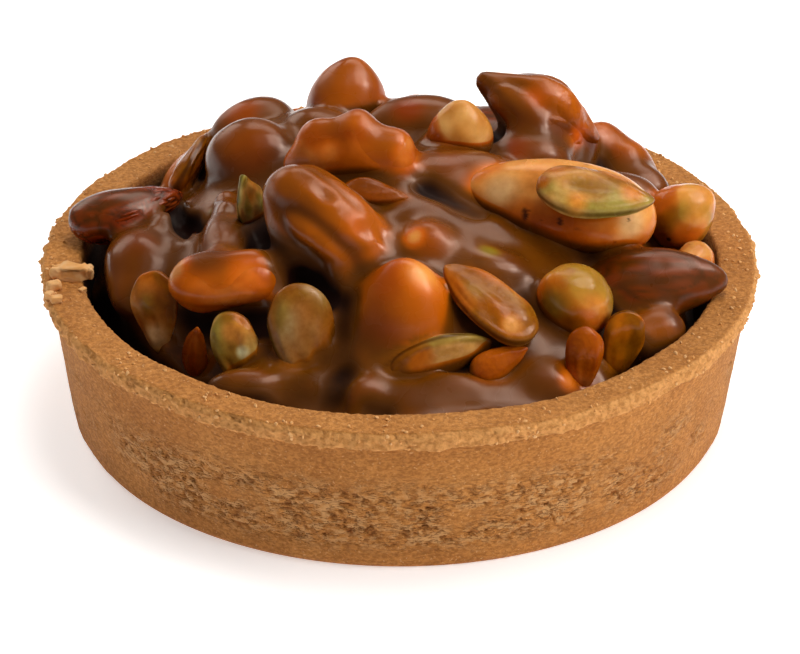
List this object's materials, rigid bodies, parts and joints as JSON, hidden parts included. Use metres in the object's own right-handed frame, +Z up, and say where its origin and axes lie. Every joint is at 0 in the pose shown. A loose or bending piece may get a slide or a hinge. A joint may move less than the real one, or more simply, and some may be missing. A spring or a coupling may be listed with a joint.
{
  "type": "caramel nut tart",
  "caption": "Round shortcrust tart shell filled with glossy caramel and heaped with mixed nuts and seeds, resting on its flat base.",
  "frame": {"origin": "middle of the flat base, on the surface it stands on", "axes": "+Z up out of the filling, -Y towards the viewer of the picture, +X to the viewer's right"},
  "size_m": [0.085, 0.085, 0.0363],
  "materials": {
    "baked_shortcrust": "dry baked shortcrust, golden brown, rough and crumbly",
    "caramel": "soft glossy caramel",
    "almond": "glazed almond in its brown skin",
    "blanched_almond": "glazed blanched almond",
    "hazelnut": "glazed roasted hazelnut",
    "cashew": "glazed cashew",
    "peanut": "glazed peanut",
    "pumpkin_seed": "glazed pumpkin seed",
    "sunflower_seed": "glazed sunflower seed",
    "walnut": "glazed walnut piece"
  },
  "bodies": {
    "root": {"pastry_shell": "baked_shortcrust", "caramel": "caramel", "almond_left": "almond", "almond_right": "almond", "almond_blanched": "blanched_almond", "almond_front_left": "blanched_almond", "walnut_front": "walnut", "walnut_back_right": "walnut", "cashew_middle": "cashew", "hazelnut_top": "hazelnut", "hazelnut_front": "hazelnut", "hazelnut_pale": "hazelnut", "hazelnut_right": "hazelnut", "hazelnut_right_front": "hazelnut", "peanut_behind": "peanut", "peanut_right": "peanut", "peanut_low_right": "peanut", "pumpkin_seed_top": "pumpkin_seed", "pumpkin_seed_middle": "pumpkin_seed", "pumpkin_seed_pale": "pumpkin_seed", "pumpkin_seed_green": "pumpkin_seed", "pumpkin_seed_left": "pumpkin_seed", "pumpkin_seed_edge": "pumpkin_seed", "pumpkin_seed_dark": "pumpkin_seed", "pumpkin_seed_back_left": "pumpkin_seed", "pumpkin_seed_broken": "pumpkin_seed", "sunflower_seed_middle": "sunflower_seed", "sunflower_seed_left": "sunflower_seed", "sunflower_seed_front": "sunflower_seed", "sunflower_seed_right": "sunflower_seed", "almond_back": "almond", "almond_back_left": "blanched_almond", "walnut_back_left": "walnut", "cashew_back": "cashew", "hazelnut_back": "hazelnut", "pumpkin_seed_back": "pumpkin_seed", "pumpkin_seed_back_right": "pumpkin_seed", "pumpkin_seed_far_left": "pumpkin_seed", "peanut_back": "peanut", "sunflower_seed_back": "sunflower_seed"}
  },
  "joints": []
}
